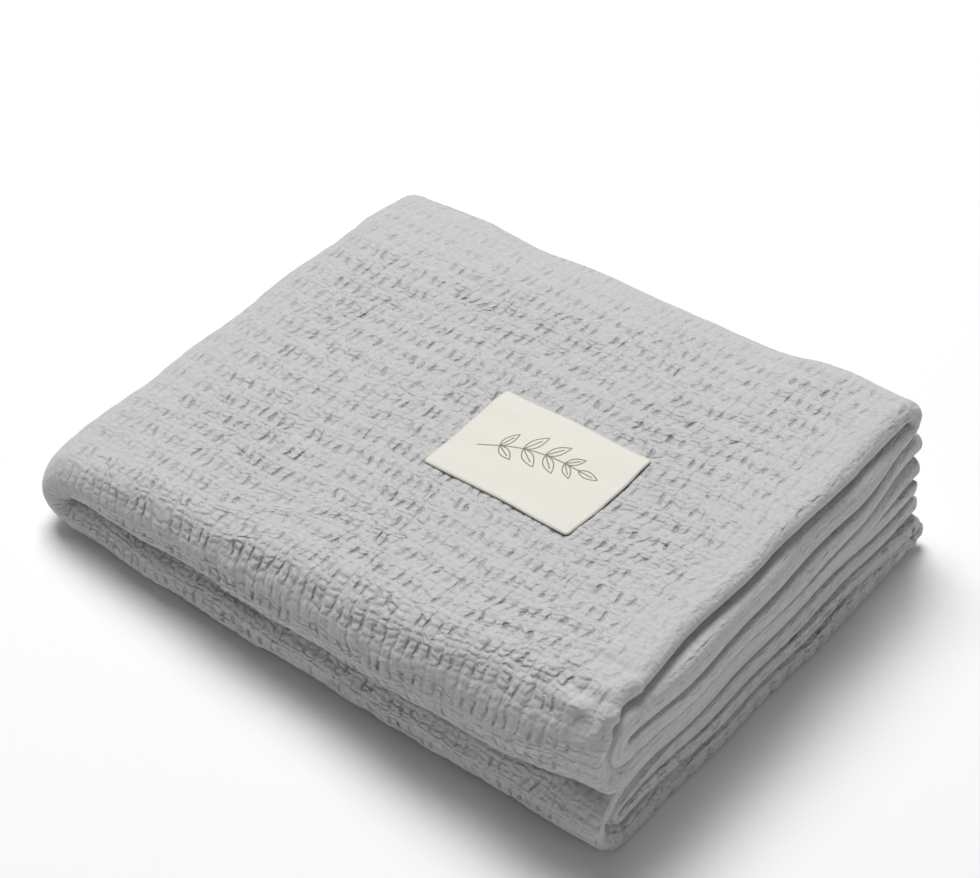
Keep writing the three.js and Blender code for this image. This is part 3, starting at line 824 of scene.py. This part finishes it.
def make_camera():
    azimuth, elevation, roll = (math.radians(CAMERA[key]) for key in ("azimuth", "elevation", "roll"))
    back = Vector((math.sin(azimuth) * math.cos(elevation), -math.cos(azimuth) * math.cos(elevation),
                   math.sin(elevation)))
    right = Vector((0.0, 0.0, 1.0)).cross(back).normalized()
    up = back.cross(right)
    right, up = (right * math.cos(roll) + up * math.sin(roll), up * math.cos(roll) - right * math.sin(roll))
    data = bpy.data.cameras.new("camera")
    data.sensor_width = SENSOR_WIDTH
    data.lens = CAMERA["focal_pixels"] / PHOTO_WIDTH * SENSOR_WIDTH
    camera = bpy.data.objects.new("camera", data)
    place = (Vector(CAMERA["target"]) + back * CAMERA["distance"]) * MM
    camera.matrix_world = Matrix.Translation(place) @ Matrix((right, up, back)).transposed().to_4x4()
    bpy.context.scene.collection.objects.link(camera)
    bpy.context.scene.camera = camera


make_camera()


# Colours, as sRGB
WHITE_STUDIO = 0xFFFFFF
PALE_FLOOR = 0xF4F4F4
GREY_COTTON = 0xC2C2C2
# Painted shade: the darker grey that the knit's slits, pits and row lines are coloured, standing in for the
# shade that falls in them
GREY_OF_PAINTED_SLIT_SHADE = 0x97979A
CREAM_LABEL = 0xDEDBD2
TAUPE_THREAD = 0x9A9084


def linear(hex_colour):
    """Linear colour of an sRGB hex value."""
    parts = [((hex_colour >> shift) & 255) / 255.0 for shift in (16, 8, 0)]
    return tuple(p / 12.92 if p <= 0.04045 else ((p + 0.055) / 1.055) ** 2.4 for p in parts) + (1.0,)


def add_node(tree, kind, inputs, output=0, **settings):
    """Adds a node, fills or links its inputs, makes its settings, and gives one of its outputs."""
    made = tree.nodes.new("ShaderNode" + kind)
    for name, value in settings.items():
        setattr(made, name, value)
    for key, value in inputs.items():
        if isinstance(value, bpy.types.NodeSocket):
            tree.links.new(value, made.inputs[key])
        else:
            made.inputs[key].default_value = value
    return made.outputs[output]


def start_material(name, values):
    """Starts a material with values of its shader; gives the material, its tree and its shader."""
    material = bpy.data.materials.new(name)
    material.use_nodes = True
    shader = material.node_tree.nodes["Principled BSDF"]
    for socket, value in values.items():
        shader.inputs[socket].default_value = value
    return material, material.node_tree, shader


FLOOR_SIZE = 8.0


def make_floor():
    bpy.ops.mesh.primitive_plane_add(size=FLOOR_SIZE)
    floor = bpy.context.object
    floor.name = "floor"
    material, _, _ = start_material("pale floor", {"Base Color": linear(PALE_FLOOR), "Roughness": 0.8})
    floor.data.materials.append(material)


# Soft studio light in a white room: each softbox's place and size in metres and its power in watts
ROOM_LIGHT = 0.168
SOFTBOXES = {
    "softbox above": ((-0.9, 0.7, 2.6), 1.5, 83.5),
    "softbox right": ((2.4, -0.4, 1.0), 1.4, 6.0),
}


def make_lights():
    world = bpy.data.worlds.new("studio")
    bpy.context.scene.world = world
    world.use_nodes = True
    background = world.node_tree.nodes["Background"]
    background.inputs["Color"].default_value = linear(WHITE_STUDIO)
    background.inputs["Strength"].default_value = ROOM_LIGHT
    bpy.context.scene.view_settings.view_transform = "Standard"
    for name, (place, size, power) in SOFTBOXES.items():
        data = bpy.data.lights.new(name, "AREA")
        data.size = size
        data.energy = power
        light = bpy.data.objects.new(name, data)
        light.location = place
        light.rotation_euler = (-Vector(place)).to_track_quat("-Z", "Y").to_euler()
        bpy.context.scene.collection.objects.link(light)


make_floor()
make_lights()


# Settings that many nodes share
FLAT = {"noise_dimensions": "2D"}
SMOOTH = {"interpolation_type": "SMOOTHSTEP"}
# Noise on the knit, as patches per mm and its detail: the yarns waver over 5 mm, the slits' edges
# are ragged over 1.8 mm, pits and lines come and go over 2.8 mm, the dye is uneven over 2 mm, and
# tufts of fibre are 0.9 mm wide
KNIT_NOISES = {"waver": (0.20, 1.0), "ragged": (0.55, 1.0), "patchy": (0.36, 1.0), "dye": (0.5, 3.0),
               "fibres": (1.1, 2.0)}
# Crinkles of the yarn are 2 mm long and 2.8 mm wide
CRINKLES_PER_MM = (0.50, 0.36, 0.0)
# How far the yarns waver, in repeats
WAVER = (0.17, 0.24, 0.0)
# From and to which distance, in repeats, each form goes from the one value to the other
SLIT_SIDES = (0.0, 0.08, 1.0, 0.0)
SLIT_ENDS = (0.14, 0.28, 1.0, 0.0)
RIB_SIDES = (0.0, 0.42, 0.25, 1.0)
PILLOW_SIDES = (0.0, 0.34, 0.0, 1.0)
PIT_ENDS = (0.05, 0.34, 1.0, 0.0)
LINE_SIDES = (0.01, 0.10, 0.12, 0.0)
# The slits of a repeat: place, how far off the cells of its chances lie, least openness
SLIT_CHANCES = ((SLITS["first"], 0.0, 0.55), (SLITS["second"], 40.0, 0.25), (SEAM, 80.0, -0.4))
HEIGHT_CELLS_OFF = 40.0
LEAST_FULLNESS = 0.15
LEAST_CRINKLED = 0.45
PIT_DEPTH = 0.45
# Heights of the finer forms in millimetres
FINE_RELIEF = {"open": -1.05, "pillows": 0.78, "crinkles": 0.85, "fibres": 0.12}


def near_line(tree, place, line, start, end, at_start, at_end):
    """A value that changes smoothly with the distance from the nearest such line of the repeats."""
    away = add_node(tree, "Math", {0: place, 1: line}, operation="SUBTRACT")
    away = add_node(tree, "Math", {0: away, 1: 0.5}, operation="PINGPONG")
    return add_node(tree, "MapRange", {"Value": away, "From Min": start, "From Max": end,
                                       "To Min": at_start, "To Max": at_end}, **SMOOTH)


def chance_in(tree, cell, off):
    """A number from 0 to 1 by chance for each cell, read some cells off it."""
    own_cell = add_node(tree, "VectorMath", {0: cell, 1: off}, operation="ADD")
    return add_node(tree, "TexWhiteNoise", {"Vector": own_cell}, "Value", **FLAT)


def knit_material():
    """Cotton cellular knit: carded, softly twisted yarn dyed light grey and knitted on a flat-bed
    machine. To the eye it is quite matt, with raised pillows, slits with shade in them, and yarns
    that catch the light as short soft dashes."""
    material, tree, shader = start_material("cotton cellular knit", {
        "Roughness": 0.95, "IOR": 1.5, "Specular IOR Level": 0.2, "Sheen Weight": 0.25,
        "Sheen Roughness": 0.5})
    repeats = add_node(tree, "UVMap", {}, "UV", uv_map="repeats")
    crisp = add_node(tree, "Attribute", {}, "Fac", attribute_name="crisp")
    size = (REPEAT_U, REPEAT_V, 0.0)
    millimetres = add_node(tree, "VectorMath", {0: repeats, 1: size}, operation="MULTIPLY")
    noises = {}
    for name, (per_mm, detail) in KNIT_NOISES.items():
        noises[name] = add_node(tree, "TexNoise", {
            "Vector": millimetres, "Scale": per_mm, "Detail": detail}, **FLAT)

    # The yarns waver by a few tenths of a millimetre, each way by a noise of its own
    waver = noises["waver"].node.outputs["Color"]
    off = add_node(tree, "VectorMath", {0: waver, 1: (0.5, 0.5, 0.5)}, operation="SUBTRACT")
    moved = add_node(tree, "VectorMath", {0: off, 1: WAVER, 2: repeats}, operation="MULTIPLY_ADD")
    across = add_node(tree, "SeparateXYZ", {0: moved}, "X")
    up = add_node(tree, "SeparateXYZ", {0: moved}, "Y")

    # Slits: a pair in each repeat and now and then a third at the seam, each as open, as long and as
    # high in its row as chance has it
    cell = add_node(tree, "VectorMath", {0: moved}, operation="FLOOR")
    ragged = add_node(tree, "MapRange", {
        "Value": noises["ragged"], "From Min": 0.34, "From Max": 0.50, "To Min": 0.4}, **SMOOTH)
    slits = 0.0
    grooves = 0.0
    for place, cells_off, least in SLIT_CHANCES:
        groove = near_line(tree, across, place, *SLIT_SIDES)
        height = chance_in(tree, cell, (cells_off, HEIGHT_CELLS_OFF, 0.0))
        height = add_node(tree, "Math", {0: height, 1: -SLIT["sway"], 2: up}, operation="MULTIPLY_ADD")
        in_row = near_line(tree, height, ROW_LINE - SLIT["sway"] / 2.0, *SLIT_ENDS)
        openness = chance_in(tree, cell, (cells_off, 0.0, 0.0))
        openness = add_node(tree, "MapRange", {"Value": openness, "To Min": least})
        slit = groove
        for share in (in_row, openness, ragged):
            slit = add_node(tree, "Math", {0: slit, 1: share}, operation="MULTIPLY")
        slits = add_node(tree, "Math", {0: slits, 1: slit}, operation="MAXIMUM")
        grooves = add_node(tree, "Math", {0: grooves, 1: groove}, operation="MAXIMUM")

    # Ribs run between the rows' grooves, cut into pillows 4.5 x 2.3 mm, each as full as chance has it
    grid = add_node(tree, "VectorMath", {
        0: moved, 1: (BUMPS["count"], RIBS, 0.0),
        2: (-BUMPS["count"] * BUMPS["first"], -RIBS * ROW_LINE, 0.0)}, operation="MULTIPLY_ADD")
    along_grid = add_node(tree, "SeparateXYZ", {0: grid}, "X")
    over_grid = add_node(tree, "SeparateXYZ", {0: grid}, "Y")
    pillow_cell = add_node(tree, "VectorMath", {0: grid}, operation="FLOOR")
    fullness = chance_in(tree, pillow_cell, (0.0, 0.0, 0.0))
    fullness = add_node(tree, "MapRange", {"Value": fullness, "To Min": LEAST_FULLNESS})
    pillows = near_line(tree, over_grid, 0.0, *RIB_SIDES)
    for share in (near_line(tree, along_grid, 0.0, *PILLOW_SIDES), fullness, crisp):
        pillows = add_node(tree, "Math", {0: pillows, 1: share}, operation="MULTIPLY")

    # Pits lie where grooves cross, and a broken line joins the slits of a row
    patchy = add_node(tree, "MapRange", {
        "Value": noises["patchy"], "From Min": 0.47, "From Max": 0.62}, **SMOOTH)
    pits = grooves
    for share in (near_line(tree, over_grid, 0.0, *PIT_ENDS), patchy, PIT_DEPTH):
        pits = add_node(tree, "Math", {0: pits, 1: share}, operation="MULTIPLY")
    line = near_line(tree, up, ROW_LINE, *LINE_SIDES)
    line = add_node(tree, "Math", {0: line, 1: patchy}, operation="MULTIPLY")
    # The open places both sink the bump and set where shade is painted into the colour below
    open_places = slits
    for other in (line, pits):
        open_places = add_node(tree, "Math", {0: open_places, 1: other}, operation="MAXIMUM")
    open_places = add_node(tree, "Math", {0: open_places, 1: crisp}, operation="MULTIPLY")

    # Crinkles of the yarn, drawn out along the columns
    drawn_out = add_node(tree, "VectorMath", {0: millimetres, 1: CRINKLES_PER_MM}, operation="MULTIPLY")
    crinkles = add_node(tree, "TexNoise", {"Vector": drawn_out, "Scale": 1.0, "Detail": 1.0}, **FLAT)
    clearer = add_node(tree, "MapRange", {"Value": crisp, "To Min": LEAST_CRINKLED})
    crinkles = add_node(tree, "Math", {0: crinkles, 1: clearer}, operation="MULTIPLY")

    forms = {"open": open_places, "pillows": pillows, "crinkles": crinkles, "fibres": noises["fibres"]}
    height = 0.0
    for name, form in forms.items():
        height = add_node(tree, "Math", {
            0: form, 1: FINE_RELIEF[name], 2: height}, operation="MULTIPLY_ADD")
    normal = add_node(tree, "Bump", {"Strength": 1.0, "Distance": MM, "Height": height})
    tree.links.new(normal, shader.inputs["Normal"])

    # Painted shade in the open places: their colour is mixed towards a darker grey in place of the shade that
    # falls into the slits, pits and row lines; and yarn that took the dye a little unevenly
    tone = add_node(tree, "MapRange", {
        "Value": noises["dye"], "From Min": 0.3, "From Max": 0.7, "To Min": 0.95, "To Max": 1.04})
    with_painted_slit_shade = add_node(tree, "Mix", {
        "Factor": open_places, "A": linear(GREY_COTTON), "B": linear(GREY_OF_PAINTED_SLIT_SHADE)},
        "Result", data_type="RGBA")
    colour = add_node(tree, "VectorMath", {0: with_painted_slit_shade, "Scale": tone}, operation="SCALE")
    tree.links.new(colour, shader.inputs["Base Color"])
    return material


blanket.data.materials.append(knit_material())


def top_points(local_x, local_y, height):
    """Points over the top of the folded cloth, from places on the label."""
    turn = math.radians(LABEL["turn"])
    x = LABEL["x"] + local_x * math.cos(turn) - local_y * math.sin(turn)
    y = LABEL["y"] + local_x * math.sin(turn) + local_y * math.cos(turn)
    z = stack_height(x, y) - sag_at(x, y)
    points = settle(np.stack([x, y, z], axis=-1))
    points[..., 2] += height
    return points


LABEL_CELLS = {"width": 60, "depth": 40}
# How far the label's ends stand proud and its face is uneven, in mm, and the lengths of their waves
LABEL_ENDS = {"height": 0.25, "steep": 6, "wave_x": 40.0, "wave_y": 30.0}
LABEL_FACE = {"height": 0.12, "wave_x": 16.0, "wave_y": 14.0}
# Its cut edge is softened over this many mm, down to a share of its thickness
LABEL_EDGE = {"reach": 0.8, "least": 0.35}


def label_middle(x, y):
    """Height of the label's middle over the top of the cloth: it lies nearly flat, its ends a little
    proud of the knit."""
    ends = LABEL_ENDS["height"] * ease((np.abs(x) * 2.0 / LABEL["width"]) ** LABEL_ENDS["steep"])
    ends = ends * soft_noise("label_ends", x / LABEL_ENDS["wave_x"], y / LABEL_ENDS["wave_y"])
    face = LABEL_FACE["height"] * soft_noise("label_face", x / LABEL_FACE["wave_x"], y / LABEL_FACE["wave_y"])
    return LABEL["lift"] + LABEL["thickness"] / 2.0 + ends + face


def make_label():
    """Cut from label tape: a thin plain sheet with slightly rounded corners and soft cut edges."""
    half_x, half_y, corner = LABEL["width"] / 2.0, LABEL["depth"] / 2.0, LABEL["corner"]
    x, y = np.meshgrid(np.linspace(-half_x, half_x, LABEL_CELLS["width"] + 1),
                       np.linspace(-half_y, half_y, LABEL_CELLS["depth"] + 1))
    over_x = np.maximum(np.abs(x) - (half_x - corner), 0.0)
    over_y = np.maximum(np.abs(y) - (half_y - corner), 0.0)
    far = np.maximum(np.hypot(over_x, over_y), corner)
    x = np.sign(x) * (np.minimum(np.abs(x), half_x - corner) + over_x * corner / far)
    y = np.sign(y) * (np.minimum(np.abs(y), half_y - corner) + over_y * corner / far)
    middle = label_middle(x, y)
    edge = np.minimum(half_x - np.abs(x), half_y - np.abs(y))
    softened = unit(LABEL_EDGE["least"] + edge / LABEL_EDGE["reach"])
    half_thick = LABEL["thickness"] / 2.0 * np.sqrt(softened)
    vertices = np.concatenate([top_points(x, y, middle + side * half_thick).reshape(-1, 3)
                               for side in (1.0, -1.0)])
    ids = np.arange(x.size).reshape(x.shape)
    below = x.size
    faces = []
    for quad in zip(ids[:-1, :-1].flat, ids[:-1, 1:].flat, ids[1:, 1:].flat, ids[1:, :-1].flat):
        faces.append(quad)
        faces.append(tuple(below + index for index in reversed(quad)))
    ring = [*ids[0, :-1], *ids[:-1, -1], *ids[-1, :0:-1], *ids[:0:-1, 0]]
    for here, after in zip(ring, ring[1:] + ring[:1]):
        faces.append((here, below + here, below + after, after))
    flat = np.stack([x.ravel(), y.ravel()], axis=-1)
    return weave_object("woven_label", vertices, faces, "threads", np.concatenate([flat, flat]))


# Threads 0.8 mm apart, three times as coarse as real ones, so that they show, and uneven over 0.8 mm
THREAD = {"pitch": 0.8, "uneven_per_mm": 1.2, "uneven": 1.2, "height": 0.1, "strength": 0.35}


def label_material(name, colour):
    """Woven label: fine polyester warp and weft beaten close on a label loom, cut hot. To the eye it
    is cream and smooth, with a fine rib across it and hardly any gloss."""
    material, tree, shader = start_material(name, {
        "Roughness": 0.7, "IOR": 1.55, "Specular IOR Level": 0.35})
    threads = add_node(tree, "UVMap", {}, "UV", uv_map="threads")
    rib = add_node(tree, "TexWave", {
        "Vector": threads, "Scale": math.pi / 10.0 / THREAD["pitch"], "Distortion": 0.4, "Detail": 1.0},
        "Fac", wave_type="BANDS", bands_direction="X")
    uneven = add_node(tree, "TexNoise", {
        "Vector": threads, "Scale": THREAD["uneven_per_mm"], "Detail": 3.0}, **FLAT)
    height = add_node(tree, "Math", {0: uneven, 1: THREAD["uneven"], 2: rib}, operation="MULTIPLY_ADD")
    normal = add_node(tree, "Bump", {
        "Strength": THREAD["strength"], "Distance": THREAD["height"] * MM, "Height": height})
    tree.links.new(normal, shader.inputs["Normal"])
    tone = add_node(tree, "MapRange", {
        "Value": uneven, "From Min": 0.3, "From Max": 0.7, "To Min": 0.97, "To Max": 1.01})
    tinted = add_node(tree, "VectorMath", {0: linear(colour)[:3], "Scale": tone}, operation="SCALE")
    tree.links.new(tinted, shader.inputs["Base Color"])
    return material


# A plain leaf sprig lies along the label. Along its stem, as shares: where a pair of leaves sits,
# how long they are in mm, and how far they open in degrees.
STEM = {"from": (-23.0, -5.5), "to": (15.0, 4.0), "bow": 3.0}
LEAF_COLUMNS = ("share", "length", "open")
LEAVES = (
    (0.20, 8.6, 50.0),
    (0.42, 10.2, 48.0),
    (0.64, 9.6, 45.0),
    (0.85, 7.6, 42.0),
)
TIP_LEAF = 8.4
# Half a leaf's width and its rib's two ends, as shares of its length, and how far back it is widest
LEAF = {"half_width": 0.19, "rib": (0.05, 0.72), "widest": 0.85}
LINE = {"width": 0.45, "height": 0.10}
# Steps of the stem, of a leaf's side and of its rib
STEPS = {"stem": 33, "side": 15, "rib": 9}
# The stem's direction is read over this share of it
AHEAD = 0.02


def leaf_lines(root, angle, length):
    """A pointed leaf, out on one side and back on the other, and its rib."""
    steps = np.linspace(0.0, 1.0, STEPS["side"])
    width = LEAF["half_width"] * length * np.sin(math.pi * steps ** LEAF["widest"])
    out_and_back = np.concatenate([steps, steps[-2::-1]]) * length
    outline = np.stack([out_and_back, np.concatenate([width, -width[-2::-1]])])
    rib_from, rib_to = LEAF["rib"]
    rib = np.stack([np.linspace(rib_from * length, rib_to * length, STEPS["rib"]), np.zeros(STEPS["rib"])])
    turn = np.array([[math.cos(angle), -math.sin(angle)], [math.sin(angle), math.cos(angle)]])
    return [(turn @ line).T + np.array(root) for line in (outline, rib)]


def sprig_lines():
    start, end = np.array(STEM["from"]), np.array(STEM["to"])
    direction = (end - start) / np.linalg.norm(end - start)
    aside = np.array([-direction[1], direction[0]])

    def on_stem(share):
        return start + (end - start) * share + aside * STEM["bow"] * math.sin(math.pi * share)

    def heading(share):
        ahead = on_stem(share + AHEAD) - on_stem(share)
        return math.atan2(ahead[1], ahead[0])

    lines = [np.array([on_stem(share) for share in np.linspace(0.0, 1.0, STEPS["stem"])])]
    for leaf in table(LEAF_COLUMNS, LEAVES):
        for side in (1.0, -1.0):
            angle = heading(leaf["share"]) + side * math.radians(leaf["open"])
            lines += leaf_lines(on_stem(leaf["share"]), angle, leaf["length"])
    return lines + leaf_lines(on_stem(1.0), heading(1.0 - AHEAD), TIP_LEAF)


def make_sprig():
    """The sprig's taupe threads lie on the label as thin raised lines."""
    vertices, faces = [], []
    for points in sprig_lines():
        ahead = np.gradient(points, axis=0)
        ahead /= np.linalg.norm(ahead, axis=1, keepdims=True) + 1e-9
        aside = np.stack([-ahead[:, 1], ahead[:, 0]], axis=-1) * LINE["width"] / 2.0
        start = len(vertices)
        for sign, height in ((1.0, -1.0), (1.0, 0.5), (-1.0, 0.5), (-1.0, -1.0)):
            x, y = (points + sign * aside).T
            face = label_middle(x, y) + LABEL["thickness"] / 2.0
            vertices.extend(top_points(x, y, face + height * LINE["height"]))
        count = len(points)
        for side in range(4):
            here, beside = start + side * count, start + (side + 1) % 4 * count
            for step in range(count - 1):
                faces.append((here + step, here + step + 1, beside + step + 1, beside + step))
        faces.append(tuple(start + side * count for side in range(4)))
        faces.append(tuple(start + side * count + count - 1 for side in (3, 2, 1, 0)))
    vertices = np.array(vertices)
    return weave_object("leaf_sprig", vertices, faces, "threads", (vertices + CORNER)[:, :2])


label = make_label()
label.data.materials.append(label_material("cream woven label", CREAM_LABEL))
sprig = make_sprig()
sprig.data.materials.append(label_material("taupe woven thread", TAUPE_THREAD))
for piece in (label, sprig):
    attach(piece, "root")
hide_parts("label")
